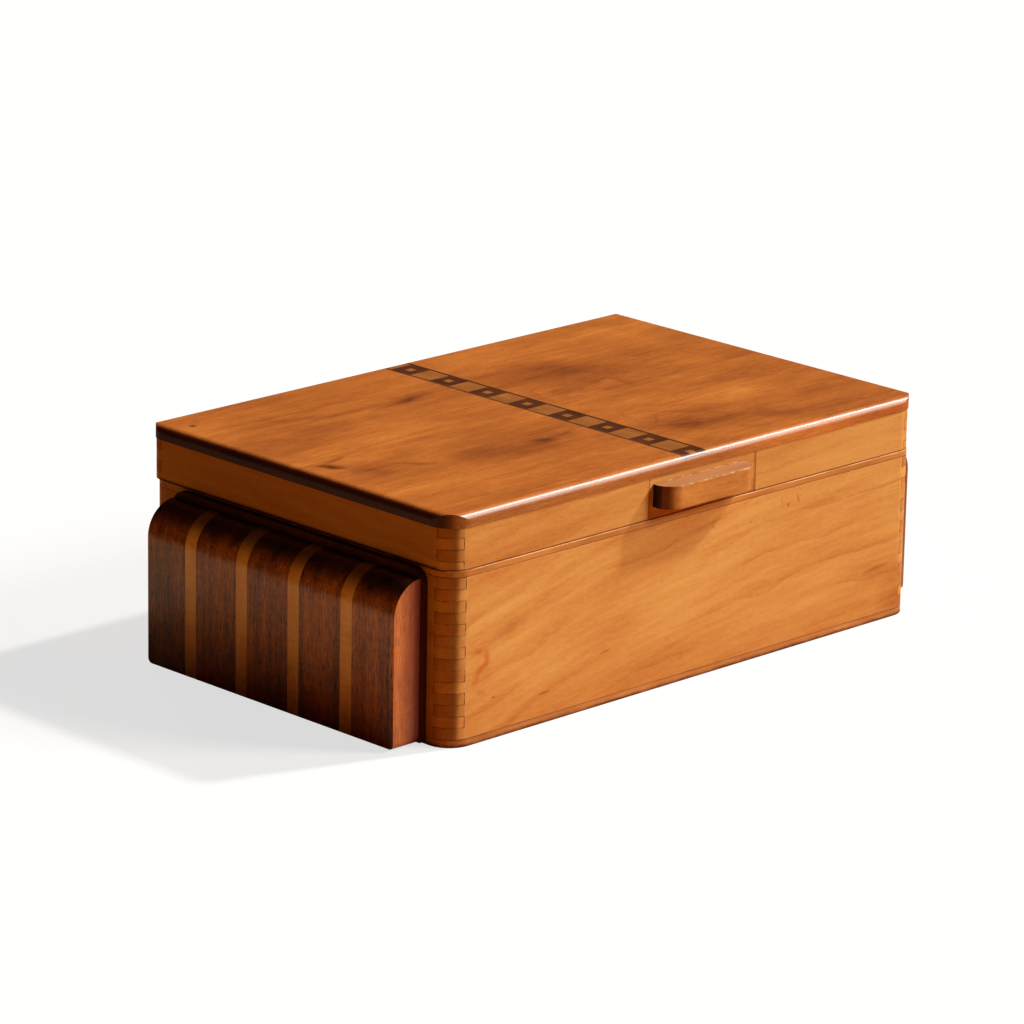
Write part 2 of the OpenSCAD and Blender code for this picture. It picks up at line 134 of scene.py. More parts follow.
def blend_figure(tree, parts):
    """Sum of several figures about their middle value, each with its own weight, about one half."""
    total = 0.5
    for figure, weight in parts:
        level = add(tree, "Math", {0: figure, 1: weight, 2: -0.5 * weight}, operation="MULTIPLY_ADD")[0]
        total = add(tree, "Math", {0: level, 1: total}, operation="ADD")[0]
    return total


def stained(tree, colour, amount, strength, stain):
    """Deepens a colour with a stain by an amount that nodes give."""
    share = add(tree, "Math", {0: amount, 1: strength}, operation="MULTIPLY", use_clamp=True)[0]
    return add(tree, "MixRGB", {0: share, 1: colour, 2: srgb(stain)}, blend_type="MULTIPLY")[0]


def varnished(material, colour, relief, relief_mm, roughness, specular):
    """Wood under a thin varnish: its colour, a fine relief and the gloss of the film."""
    tree = material.node_tree
    shader = tree.nodes["Principled BSDF"]
    bump = add(tree, "Bump", {"Height": relief, "Strength": 1.0, "Distance": relief_mm / 1000})["Normal"]
    gloss = add(tree, "MapRange", {0: relief, 1: 0.3, 2: 0.7, 3: roughness - 0.05, 4: roughness + 0.05})[0]
    tree.links.new(colour, shader.inputs["Base Color"])
    tree.links.new(bump, shader.inputs["Normal"])
    tree.links.new(gloss, shader.inputs["Roughness"])
    shader.inputs["Specular IOR Level"].default_value = specular
    return material


def new_material(name):
    material = bpy.data.materials.new(name)
    material.use_nodes = True
    return material


def finger_places(part, short_finger=0):
    """Height of the first whole row of fingers, over any short one, and how far out in X and in Y
    their tips lie."""
    front, back, left = (corners(f"{part}_{side}_board") for side in ("front", "back", "left"))
    return {"first_row": front[0][2] + short_finger, "tip_x": -left[1][0],
            "tip_y": (back[0][1] - front[1][1]) / 2}


finger = 6.35
base_joints = finger_places("base")
lid_joints = finger_places("lid", short_finger=4.8)


def corner_joint(tree, spot, along, first_row, tip_x, tip_y):
    """Tone of a corner joint: uneven fingers with dark lines between them. The lines are drawn 0.4 mm
    wide, because real ones are too fine to show."""
    x, y, z = add(tree, "SeparateXYZ", {0: spot})
    out_x = add(tree, "Math", {0: x}, operation="ABSOLUTE")[0]
    out_y = add(tree, "Math", {0: y}, operation="ABSOLUTE")[0]
    reach, edge, depth, tip = (out_x, tip_x, out_y, tip_y) if along == "X" else (out_y, tip_y, out_x, tip_x)
    in_joint = add(tree, "Math", {0: reach, 1: edge}, operation="GREATER_THAN")[0]
    level = add(tree, "Math", {0: z, 1: first_row}, operation="SUBTRACT")[0]
    to_row = add(tree, "Math", {0: level, 1: finger}, operation="PINGPONG")[0]
    to_row = add(tree, "Math", {0: to_row, 1: finger / 2}, operation="PINGPONG")[0]
    between = add(tree, "MapRange", {0: to_row, 1: 0.1, 2: 0.45, 3: 1.0, 4: 0.0})[0]
    ends = add(tree, "MapRange", {0: depth, 1: tip + 0.2, 2: tip + 0.65, 3: 1.0, 4: 0.0})[0]
    lines = add(tree, "Math", {0: between, 1: 0.75}, operation="MULTIPLY")[0]
    both = add(tree, "Math", {0: lines, 1: ends}, operation="MAXIMUM")[0]
    glue = add(tree, "MapRange", {0: streaks(tree, spot, 3, 3, 1.0), 1: 0.35, 2: 0.6, 3: 0.35, 4: 1.0})[0]
    drawn = add(tree, "Math", {0: both, 1: glue}, operation="MULTIPLY")[0]
    # Each finger has drunk in a little more or less of the varnish.
    row = add(tree, "Math", {0: level, 1: finger}, operation="DIVIDE")[0]
    row = add(tree, "Math", {0: row}, operation="FLOOR")[0]
    soaked = add(tree, "TexWhiteNoise", {"W": row}, noise_dimensions="1D")["Value"]
    soaked = add(tree, "MapRange", {0: soaked, 3: 0.0, 4: 0.3})[0]
    tone = add(tree, "Math", {0: drawn, 1: soaked}, operation="MAXIMUM")[0]
    return add(tree, "Math", {0: tone, 1: in_joint}, operation="MULTIPLY")[0]


def painted_corner_light_and_shade(tree, colour, spot):
    """Paints light on the round of the left corners towards the front, and paints shade where it turns to the
    side. The left side itself is painted darker, as shade, and its share is returned too."""
    face = add(tree, "SeparateXYZ", {0: add(tree, "TexCoord")["Normal"]})["X"]
    light_patches = add(tree, "TexNoise", {"Vector": spot, "Scale": 0.08, "Detail": 2.0})["Fac"]
    light_patches = add(tree, "MapRange", {0: light_patches, 1: 0.3, 2: 0.6, 3: 0.35, 4: 0.8})[0]
    # Painted light: the round is paled where it still faces the front.
    coming = add(tree, "MapRange", {0: face, 1: 0.0, 2: -0.3}, interpolation_type="SMOOTHSTEP")[0]
    going = add(tree, "MapRange", {0: face, 1: -0.36, 2: -0.5, 3: 1.0, 4: 0.0})[0]
    pale = add(tree, "Math", {0: coming, 1: going}, operation="MULTIPLY")[0]
    pale = add(tree, "Math", {0: pale, 1: light_patches}, operation="MULTIPLY")[0]
    colour = add(tree, "MixRGB", {0: pale, 1: colour, 2: srgb("#f6bc6c")})[0]
    # Painted shade where the round turns to the side.
    painted_turn_shade = add(tree, "MapRange", {0: face, 1: -0.42, 2: -0.56})[0]
    beyond = add(tree, "MapRange", {0: face, 1: -0.6, 2: -0.8, 3: 1.0, 4: 0.0})[0]
    painted_turn_shade = add(tree, "Math", {0: painted_turn_shade, 1: beyond}, operation="MULTIPLY")[0]
    colour = stained(tree, colour, painted_turn_shade, 0.6, "#a88a6c")
    # The left side is painted darker, as shade.
    shaded_left_face = add(tree, "MapRange", {0: face, 1: -0.9, 2: -0.99})[0]
    return stained(tree, colour, shaded_left_face, 1.0, "#e2deda"), shaded_left_face


lid_foot = corners("lid_front_board")[0][2]


def foot_tone_and_seam_shade(tree, colour, spot, shaded_left_face):
    """Makes the walls a little browner towards the table, and paints shade along the lid's lower edge, where
    the seam is, most of it on the left side."""
    height = add(tree, "SeparateXYZ", {0: spot})["Z"]
    low = add(tree, "MapRange", {0: height, 1: 4, 2: 44, 3: 1.0, 4: 0.0})[0]
    colour = stained(tree, colour, low, 0.45, "#e0c8b8")
    # Painted shade: a dark line along the seam under the lid, wider on the left side.
    off_edge = add(tree, "Math", {0: height, 1: lid_foot}, operation="SUBTRACT")[0]
    off_edge = add(tree, "Math", {0: off_edge}, operation="ABSOLUTE")[0]
    seam_shade = add(tree, "MapRange", {0: off_edge, 1: 0.25, 2: 0.6, 3: 1.0, 4: 0.0})[0]
    colour = stained(tree, colour, seam_shade, 0.7, "#80502f")
    side_seam_shade = add(tree, "MapRange", {0: off_edge, 1: 0.5, 2: 1.9, 3: 1.0, 4: 0.0})[0]
    side_seam_shade = add(tree, "Math", {0: side_seam_shade, 1: shaded_left_face}, operation="MULTIPLY")[0]
    return stained(tree, colour, side_seam_shade, 0.9, "#60381f")


def honey_cherry(name, along, start, joints=None, climb=54.0, marks=(), redder_marks=(), shade="#ffffff"):
    """Aged cherry. The eye sees a quiet honey ground, soft slanting bands, fine mottle and dark pores."""
    material = new_material(name)
    tree = material.node_tree
    spot, place, cut = grain_space(tree, along, start)
    bent = bent_grain(tree, place, "Z", climb, 180)
    blotches = streaks(tree, bent, 110, 26, 2.0)
    figure_lines = streaks(tree, bent, 60, 5, 2.0)
    mottle = streaks(tree, place, 5, 2.4, 3.0, 0.7)
    fibres = streaks(tree, place, 18, 0.7, 3.0, 0.6)
    figure = blend_figure(tree, [(blotches, 0.5), (figure_lines, 0.32), (mottle, 0.22), (fibres, 0.2)])
    bands = growth_bands(tree, bent, 17.0, 24.0)
    tone = add(tree, "Math", {0: bands, 1: -0.15, 2: figure}, operation="MULTIPLY_ADD")[0]
    if marks:
        marked = patches(tree, spot, "front", marks)
        tone = add(tree, "Math", {0: marked, 1: -0.8, 2: tone}, operation="MULTIPLY_ADD")[0]
    colour = add(tree, "ValToRGB", {0: tone},
                 stops=[(0.2, "#b06a33"), (0.8, "#e0aa60"), (0.42, "#ca8a46"), (0.56, "#d39a52")])["Color"]
    # Redder marks. On the base's front one of them is a painted tint in the pull's shadow.
    if redder_marks:
        colour = stained(tree, colour, patches(tree, spot, "front", redder_marks), 0.8, "#e2a078")
    pores = streaks(tree, place, 3.2, 0.5, 1.0)
    dashes = add(tree, "MapRange", {0: pores, 1: 0.66, 2: 0.74})[0]
    colour = stained(tree, colour, dashes, 0.5, "#c08868")
    # End grain drinks in the varnish and shows as a finer, slightly deeper mottle.
    end_pores = streaks(tree, place, 1.2, 0.8, 2.0)
    end_grain = add(tree, "MapRange", {0: cut, 1: 0.35, 2: 0.9}, interpolation_type="SMOOTHSTEP")[0]
    end_depth = add(tree, "MapRange", {0: end_pores, 1: 0.3, 2: 0.7, 3: 0.4, 4: 1.0})[0]
    end_amount = add(tree, "Math", {0: end_grain, 1: end_depth}, operation="MULTIPLY")[0]
    colour = stained(tree, colour, end_amount, 1.0, "#f0e0d4")
    colour, shaded_left_face = painted_corner_light_and_shade(tree, colour, spot)
    colour = foot_tone_and_seam_shade(tree, colour, spot, shaded_left_face)
    if joints:
        colour = stained(tree, colour, corner_joint(tree, spot, along, **joints), 1.0, "#744026")
    if shade != "#ffffff":
        colour = add(tree, "MixRGB", {0: 1.0, 1: colour, 2: srgb(shade)}, blend_type="MULTIPLY")[0]
    return varnished(material, colour, fibres, 0.03, 0.55, 0.12)


def ease(node, width=0.25):
    """Breaks a piece's sharp edges with a fine round, as sandpaper does, by that many millimetres."""
    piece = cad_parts[node]
    weld = piece.modifiers.new("closed surface", "WELD")
    weld.merge_threshold = 0.00001
    bevel = piece.modifiers.new("eased edges", "BEVEL")
    bevel.width = width / 1000
    bevel.segments = 2
    bevel.limit_method = "ANGLE"
    bevel.angle_limit = math.radians(35)
    piece.modifiers.new("flat faces", "WEIGHTED_NORMAL")


def dress(node, material, eased=0.25):
    """Gives a piece of the frame its material and eased edges."""
    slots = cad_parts[node].data.materials
    slots.clear()
    slots.append(material)
    if eased:
        ease(node, eased)


# Each mark on the front has its centre in X and Z, half sizes, tilt in degrees and depth. The base has
# flecks, streaks and darker or paler stretches, and a redder curl round the knot at its left. One redder
# stretch is painted shade: it tints the pull's shadow on the base.
base_marks = [
    ((151, 32), (13, 1.6), 4, 0.35),
    ((84, 86), (1.0, 4.5), 20, 0.4),
    ((76, 84), (1.4, 1.6), 0, 0.5),
    ((71, 86), (0.8, 3.5), 15, 0.3),
    ((16, 83), (0.9, 1.2), 0, 0.45),
    ((46, 80), (0.8, 1.1), 0, 0.4),
    ((-66, 30), (5, 0.9), 5, 0.35),
    ((-112, 17), (6, 1.0), 3, 0.45),
    ((-150, 23), (2.5, 0.8), 0, 0.45),
    ((-138, 60), (16, 9), 12, 0.16),
    ((178, 12), (30, 24), 0, 0.35),
    ((130, 84), (70, 22), 5, -0.15),
    ((2, 89), (42, 9), 0, 0.14),
]
curl_and_shadow_tint = [
    ((-161, 50.5), (7, 2.6), -8, 0.75),
    ((-155, 46), (3.0, 6.5), 0, 0.85),
    ((-158.5, 41), (6, 2.6), 28, 0.8),
    ((-163, 36), (3.2, 6.5), -30, 0.6),
    ((-160, 28), (6, 2.4), -25, 0.5),
    ((-160, 42), (13, 15), 0, 0.35),
    # Painted shade: this redder stretch lies where the pull's shadow falls and tints it.
    ((-22, 80), (56, 24), 0, 0.35),
    ((-150, 90), (30, 6), 4, 0.35),
]
dress("base_front_board", honey_cherry("cherry_base_front", "X", (150, 0, 0), base_joints,
                                       marks=base_marks, redder_marks=curl_and_shadow_tint))
dress("base_back_board", honey_cherry("cherry_base_back", "X", (150, 400, 0), base_joints))
dress("base_left_board", honey_cherry("cherry_base_left", "Y", (200, 500, 30), base_joints))
dress("base_right_board", honey_cherry("cherry_base_right", "Y", (200, 900, 70), base_joints))
# The lid's front is darker at its left end and paler at its right.
lid_marks = [
    ((-140, 108), (60, 40), 0, 0.12),
    ((150, 108), (70, 40), 0, -0.2),
]
dress("lid_front_board", honey_cherry("cherry_lid_front", "X", (260, 1300, 10), lid_joints, 30.0,
                                      marks=lid_marks, shade="#f7f1ec"))
dress("lid_back_board", honey_cherry("cherry_lid_back", "X", (150, 1700, 10), lid_joints))
dress("lid_left_board", honey_cherry("cherry_lid_left", "Y", (300, 2100, 30), lid_joints, 20.0))
dress("lid_right_board", honey_cherry("cherry_lid_right", "Y", (200, 2500, 70), lid_joints))


# Block behind the pull
# A short cherry block let into the lid's front from top to bottom, with its own grain. The glue
# lines at its two ends are dark, the right one more than the left.

block_left, block_right = (corner[0] for corner in corners("pull_patch"))
pull_foot = corners("pull")[0][2]


def block_cherry(name):
    """The walls' cherry with a glue line at each end. It is painted darker just under the pull, as shade."""
    material = honey_cherry(name, "X", (100, 2900, 70), climb=20.0, shade="#f7f1ec")
    tree = material.node_tree
    shader = tree.nodes["Principled BSDF"]
    colour = shader.inputs["Base Color"].links[0].from_socket
    spot = add(tree, "SeparateXYZ", {0: grain_space(tree, "X", (0, 0, 0))[0]})
    # Painted shade just under the pull.
    shade_under_pull = add(tree, "MapRange", {0: spot["Z"], 1: pull_foot - 1.9, 2: pull_foot + 3.1, 3: 1.0, 4: 0.0})[0]
    colour = stained(tree, colour, shade_under_pull, 0.35, "#c89878")
    from_left = add(tree, "Math", {0: spot["X"], 1: block_left}, operation="SUBTRACT")[0]
    left_glue = add(tree, "MapRange", {0: from_left, 1: 0.2, 2: 1.1, 3: 1.0, 4: 0.0})[0]
    colour = stained(tree, colour, left_glue, 0.65, "#a06c44")
    from_right = add(tree, "Math", {0: block_right, 1: spot["X"]}, operation="SUBTRACT")[0]
    right_glue = add(tree, "MapRange", {0: from_right, 1: 0.4, 2: 2.4, 3: 1.0, 4: 0.0})[0]
    colour = stained(tree, colour, right_glue, 0.7, "#a87448")
    tree.links.new(colour, shader.inputs["Base Color"])
    return material


dress("pull_patch", block_cherry("cherry_pull_block"))


# Bottom panel and lipping
# A thin redder panel is planted under the walls and flushed off with them. Strips of the same
# wood, mitred at the corners, line the rim.

def red_cherry(name, along, start, shades, glue_line, rim=None):
    """Redder cherry, cut thin: straight fibres, a darker varnish and a glue line where it meets the wall."""
    material = new_material(name)
    tree = material.node_tree
    spot, place = grain_space(tree, along, start)[:2]
    blotches = streaks(tree, place, 50, 12, 2.0)
    fibres = streaks(tree, place, 14, 0.6, 3.0, 0.65)
    figure = blend_figure(tree, [(blotches, 0.7), (fibres, 0.4)])
    dark, middle, light = shades
    colour = add(tree, "ValToRGB", {0: figure}, stops=[(0.25, dark), (0.75, light), (0.5, middle)])["Color"]
    height = add(tree, "SeparateXYZ", {0: spot})["Z"]
    from_glue = add(tree, "Math", {0: height, 1: glue_line}, operation="SUBTRACT")[0]
    from_glue = add(tree, "Math", {0: from_glue}, operation="ABSOLUTE")[0]
    glue = add(tree, "MapRange", {0: from_glue, 1: 0.2, 2: 0.7, 3: 1.0, 4: 0.0})[0]
    colour = stained(tree, colour, glue, 0.6, "#94583a")
    # The foot is darker, in a ragged line.
    dents = streaks(tree, place, 9, 2.5, 3.0, 0.7)
    ragged_dark_foot = add(tree, "Math", {0: dents, 1: 3.0, 2: height}, operation="MULTIPLY_ADD")[0]
    ragged_dark_foot = add(tree, "MapRange", {0: ragged_dark_foot, 1: 1.9, 2: 3.7, 3: 1.0, 4: 0.0})[0]
    colour = stained(tree, colour, ragged_dark_foot, 0.95, "#7c4c34")
    if rim:
        # A pale highlight is painted in patches along the rim's upper edge, where its arris catches the
        # light.
        light_patches = add(tree, "MapRange", {0: streaks(tree, place, 24, 6, 2.0), 1: 0.42, 2: 0.6})[0]
        upper = add(tree, "MapRange", {0: height, 1: rim - 0.55, 2: rim - 0.2})[0]
        up = add(tree, "SeparateXYZ", {0: add(tree, "TexCoord")["Normal"]})["Z"]
        edge = add(tree, "MapRange", {0: up, 1: 0.85, 2: 0.98, 3: 1.0, 4: 0.0})[0]
        painted_edge_highlight = add(tree, "Math", {0: light_patches, 1: upper}, operation="MULTIPLY")[0]
        painted_edge_highlight = add(tree, "Math", {0: painted_edge_highlight, 1: edge}, operation="MULTIPLY")[0]
        colour = add(tree, "MixRGB", {0: painted_edge_highlight, 1: colour, 2: srgb("#e6b080")})[0]
    return varnished(material, colour, fibres, 0.03, 0.5, 0.15)


bottom_shades = ("#94582c", "#b4773f", "#cc9052")
bottom_top = corners("bottom_panel")[1][2]
dress("bottom_panel", red_cherry("red_cherry_bottom", "X", (0, 0, 0), bottom_shades, bottom_top))
lipping_shades = ("#a0602a", "#be7a3a", "#d0904c")
lipping_foot, rim_top = (corner[2] for corner in corners("lipping_front"))
for side, along, start in (("front", "X", 500), ("back", "X", 900), ("left", "Y", 500), ("right", "Y", 900)):
    strip = red_cherry(f"red_cherry_lipping_{side}", along, (start, 0, 0), lipping_shades, lipping_foot,
                       rim_top)
    dress(f"lipping_{side}", strip, 0.35)


# Backing plates
# A thin plate of dark red mahogany between each block and the end of the box, glued to both.

def dark_plate(name, start):
    """Mahogany stained dark red. Its edge catches the light as a thin line."""
    material = new_material(name)
    tree = material.node_tree
    place = grain_space(tree, "Z", start)[1]
    blotches = streaks(tree, place, 40, 10, 2.0)
    fibres = streaks(tree, place, 12, 0.5, 3.0, 0.65)
    figure = blend_figure(tree, [(blotches, 0.6), (fibres, 0.4)])
    colour = add(tree, "ValToRGB", {0: figure}, stops=[(0.25, "#2a1008"), (0.75, "#522414")])["Color"]
    return varnished(material, colour, fibres, 0.03, 0.5, 0.06)


dress("left_backing_plate", dark_plate("dark_plate_left", (0, 0, 0)))
dress("right_backing_plate", dark_plate("dark_plate_right", (300, 0, 0)))


# End blocks
# Five upright pieces of walnut with four strips of maple between them, glued up as one block and
# rounded over its upper edge. The varnish on them is glossier than on the walls.

block_back = corners("right_walnut_1")[0][0]


def walnut(name, start, foot_shade_strength, speckle, pore_depth, shade):
    """Walnut. The eye sees upright fibres, open pores, and streaks from red brown to near black."""
    material = new_material(name)
    tree = material.node_tree
    spot, place = grain_space(tree, "Z", start)[:2]
    bands = streaks(tree, place, 160, 5, 2.0)
    clouds = streaks(tree, place, 40, 18, 2.0)
    fibres = streaks(tree, place, 16, 0.8, 3.0, 0.6)
    grit = streaks(tree, place, 3.4, 1.3, 2.0, 0.6)
    sanding = streaks(tree, place, 0.9, 11, 2.0)
    figure = blend_figure(tree, [(bands, 0.9), (clouds, 0.6), (fibres, 0.7), (grit, speckle),
                                 (sanding, 0.5 * speckle)])
    ground = add(tree, "ValToRGB", {0: figure},
                 stops=[(0.15, "#44220c"), (0.85, "#d88e4c"), (0.5, "#a86632")])["Color"]
    pores = streaks(tree, place, 8, 0.6, 2.0, 0.5)
    open_pores = add(tree, "MapRange", {0: pores, 1: 0.54, 2: 0.68}, interpolation_type="SMOOTHSTEP")[0]
    colour = stained(tree, ground, open_pores, pore_depth, "#583428")
    # The block's end faces are redder, and painted darker towards the plate, as the shadow of the box's
    # corner.
    normal = add(tree, "SeparateXYZ", {0: add(tree, "TexCoord")["Normal"]})
    endwise = add(tree, "Math", {0: normal["Y"]}, operation="ABSOLUTE")[0]
    end_face = add(tree, "MapRange", {0: endwise, 1: 0.6, 2: 0.9})[0]
    redder = add(tree, "Math", {0: end_face, 1: 0.42}, operation="MULTIPLY")[0]
    colour = add(tree, "MixRGB", {0: redder, 1: colour, 2: srgb("#dc6c28")})[0]
    spot = add(tree, "SeparateXYZ", {0: spot})
    out = add(tree, "Math", {0: spot["X"]}, operation="ABSOLUTE")[0]
    painted_corner_shadow = add(tree, "MapRange", {0: out, 1: block_back + 3, 2: block_back + 14, 3: 1.0, 4: 0.0})[0]
    painted_corner_shadow = add(tree, "Math", {0: painted_corner_shadow, 1: end_face}, operation="MULTIPLY")[0]
    colour = stained(tree, colour, painted_corner_shadow, 1.0, "#9c5921")
    # The foot is painted darker, as shade, and so is the varnish over the rounded top.
    painted_foot_shade = add(tree, "MapRange", {0: spot["Z"], 1: 6, 2: 40, 3: 1.0, 4: 0.0})[0]
    painted_foot_shade = add(tree, "Math", {0: painted_foot_shade, 1: end_face}, operation="SUBTRACT", use_clamp=True)[0]
    colour = stained(tree, colour, painted_foot_shade, foot_shade_strength, "#bb7c38")
    painted_top_shade = add(tree, "MapRange", {0: normal["Z"], 1: 0.3, 2: 0.85}, interpolation_type="SMOOTHSTEP")[0]
    colour = stained(tree, colour, painted_top_shade, 0.9, "#543426")
    colour = stained(tree, colour, 1.0, 1.0, shade)
    relief = blend_figure(tree, [(pores, -0.8), (sanding, 0.5)])
    return varnished(material, colour, relief, 0.06, 0.34, 0.55)


def light_strip(name, start, shade):
    """Pale straight-grained maple, amber under the varnish."""
    material = new_material(name)
    tree = material.node_tree
    spot, place = grain_space(tree, "Z", start)[:2]
    blotches = streaks(tree, place, 30, 8, 2.0)
    fibres = streaks(tree, place, 12, 0.6, 3.0, 0.6)
    ripple = streaks(tree, place, 2.2, 9, 2.0)
    figure = blend_figure(tree, [(blotches, 0.6), (fibres, 0.35), (ripple, 0.35)])
    colour = add(tree, "ValToRGB", {0: figure},
                 stops=[(0.25, "#daa462"), (0.75, "#ffe0aa"), (0.5, "#f6c688")])["Color"]
    height = add(tree, "SeparateXYZ", {0: spot})["Z"]
    # Painted shade: the foot and the up-facing rounded top are darker.
    painted_foot_shade = add(tree, "MapRange", {0: height, 1: 10, 2: 40, 3: 1.0, 4: 0.0})[0]
    colour = stained(tree, colour, painted_foot_shade, 0.7, "#c89060")
    up = add(tree, "SeparateXYZ", {0: add(tree, "TexCoord")["Normal"]})["Z"]
    painted_top_shade = add(tree, "MapRange", {0: up, 1: 0.3, 2: 0.85}, interpolation_type="SMOOTHSTEP")[0]
    colour = stained(tree, colour, painted_top_shade, 0.8, "#6c4c34")
    colour = stained(tree, colour, 1.0, 1.0, shade)
    relief = blend_figure(tree, [(fibres, -0.8), (ripple, 0.5)])
    return varnished(material, colour, relief, 0.06, 0.34, 0.6)


# The left block is painted paler than the right, to show up in the shade it stands in, and its foot is
# painted darker, as shade. The right one has kept more of its depth. Each has its own stretch of the grain,
# foot shade, speckle, pores and shades of the walnut and the strips.
blocks = [
    ("left", 0, 1.0, 0.6, 0.95, "#ffffff", "#ffffff"),
    ("right", 2000, 0.3, 0.45, 0.7, "#b6bccc", "#ccb8a0"),
]
for side, offset, foot_shade_strength, speckle, pore_depth, walnut_shade, strip_shade in blocks:
    for i in range(5):
        material = walnut(f"walnut_{side}_{i + 1}", (offset + 210 * i, 17 * i, 0), foot_shade_strength, speckle,
                          pore_depth, walnut_shade)
        dress(f"{side}_walnut_{i + 1}", material, 0)
    for i in range(4):
        material = light_strip(f"light_strip_{side}_{i + 1}", (offset + 130 * i, 9 * i, 0), strip_shade)
        dress(f"{side}_light_strip_{i + 1}", material, 0)


# Top boards
# Two boards of darker figured cherry, edge-joined along the box, with a rounded upper edge.
# Clouds of deeper red brown, smudged knots and fine lines of grain show in the glossy varnish.

def polished(material):
    """Adds the second, clear coat that gives the top its shine. The upright edges never got one."""
    tree = material.node_tree
    shader = tree.nodes["Principled BSDF"]
    up = add(tree, "SeparateXYZ", {0: add(tree, "TexCoord")["Normal"]})["Z"]
    coat = add(tree, "MapRange", {0: up, 1: 0.1, 2: 0.6, 3: 0.0, 4: 0.6})[0]
    tree.links.new(coat, shader.inputs["Coat Weight"])
    shader.inputs["Coat Roughness"].default_value = 0.34
    return material


def arches(tree, spot, centre, half_sizes, tilt, rings):
    """Nested arches about a centre, as round a knot, that fade outwards."""
    local = oval_space(tree, spot, "top", centre, half_sizes, tilt)
    unevenness = add(tree, "TexNoise", {"Vector": local, "Scale": 1.3, "Detail": 2.0})["Fac"]
    round_distance = add(tree, "VectorMath", {0: local}, operation="LENGTH")["Value"]
    distance = add(tree, "Math", {0: unevenness, 1: 1.1, 2: round_distance}, operation="MULTIPLY_ADD")[0]
    edge = crisp_edges(tree, add(tree, "Math", {0: distance, 1: rings}, operation="MULTIPLY")[0])
    within = add(tree, "MapRange", {0: distance, 1: 1.1, 2: 1.6, 3: 1.0, 4: 0.0})[0]
    return add(tree, "Math", {0: edge, 1: within}, operation="MULTIPLY")[0]


def figured_cherry(name, start, clouds, knots, arc):
    """Figured cherry. The eye sees cloudy orange brown, with small knots where a board has them."""
    material = new_material(name)
    tree = material.node_tree
    spot, place, cut = grain_space(tree, "X", start)
    ripple = add(tree, "TexNoise", {"Vector": spot, "Scale": 0.022, "Detail": 3.0})["Color"]
    shift = add(tree, "VectorMath", {0: ripple, 1: (0.5, 0.5, 0.5)}, operation="SUBTRACT")[0]
    spread = add(tree, "VectorMath", {0: shift, 1: (70, 36, 0)}, operation="MULTIPLY")[0]
    wavy_spot = add(tree, "VectorMath", {0: spot, 1: spread}, operation="ADD")[0]
    smudge = add(tree, "VectorMath", {0: shift, 1: (22, 14, 0)}, operation="MULTIPLY")[0]
    smudged_spot = add(tree, "VectorMath", {0: spot, 1: smudge}, operation="ADD")[0]
    blotches = streaks(tree, place, 90, 36, 2.0)
    flecks = streaks(tree, place, 26, 7, 3.0)
    lines = streaks(tree, place, 60, 1.2, 3.0, 0.6)
    fibres = streaks(tree, place, 9, 0.65, 3.0, 0.65)
    grit = streaks(tree, place, 3, 1.1, 2.0, 0.6)
    figure = blend_figure(tree, [(blotches, 0.62), (flecks, 0.25), (lines, 0.4), (fibres, 0.5), (grit, 0.24)])
    bands = growth_bands(tree, bent_grain(tree, place, "Y", 0.0, 180), 21.0, 46.0)
    tone = add(tree, "Math", {0: bands, 1: -0.08, 2: figure}, operation="MULTIPLY_ADD")[0]
    cloudy = patches(tree, wavy_spot, "top", clouds, "QUADRATIC_SPHERE")
    tone = add(tree, "Math", {0: tone, 1: cloudy}, operation="SUBTRACT")[0]
    arched = arches(tree, smudged_spot, *arc)
    tone = add(tree, "Math", {0: arched, 1: -0.13, 2: tone}, operation="MULTIPLY_ADD")[0]
    colour = add(tree, "ValToRGB", {0: tone},
                 stops=[(0.05, "#823f1a"), (0.85, "#ee9640"), (0.35, "#b05e24"), (0.6, "#d17731")])["Color"]
    core = patches(tree, smudged_spot, "top", knots)
    colour = stained(tree, colour, core, 1.0, "#6a4030")
    end_grain = add(tree, "MapRange", {0: cut, 1: 0.5, 2: 0.95}, interpolation_type="SMOOTHSTEP")[0]
    colour = stained(tree, colour, end_grain, 0.92, "#563c24")
    # The rounded edge and the face below it are duller and browner, the more so towards the left.
    up = add(tree, "SeparateXYZ", {0: add(tree, "TexCoord")["Normal"]})["Z"]
    edge = add(tree, "MapRange", {0: up, 1: 0.97, 2: 0.5})[0]
    run = add(tree, "SeparateXYZ", {0: spot})["X"]
    fading = add(tree, "MapRange", {0: run, 1: -120, 2: 140, 3: 1.0, 4: 0.35})[0]
    edge = add(tree, "Math", {0: edge, 1: fading}, operation="MULTIPLY")[0]
    colour = stained(tree, colour, edge, 1.0, "#cbd6e8")
    return polished(varnished(material, colour, fibres, 0.03, 0.45, 0.25))


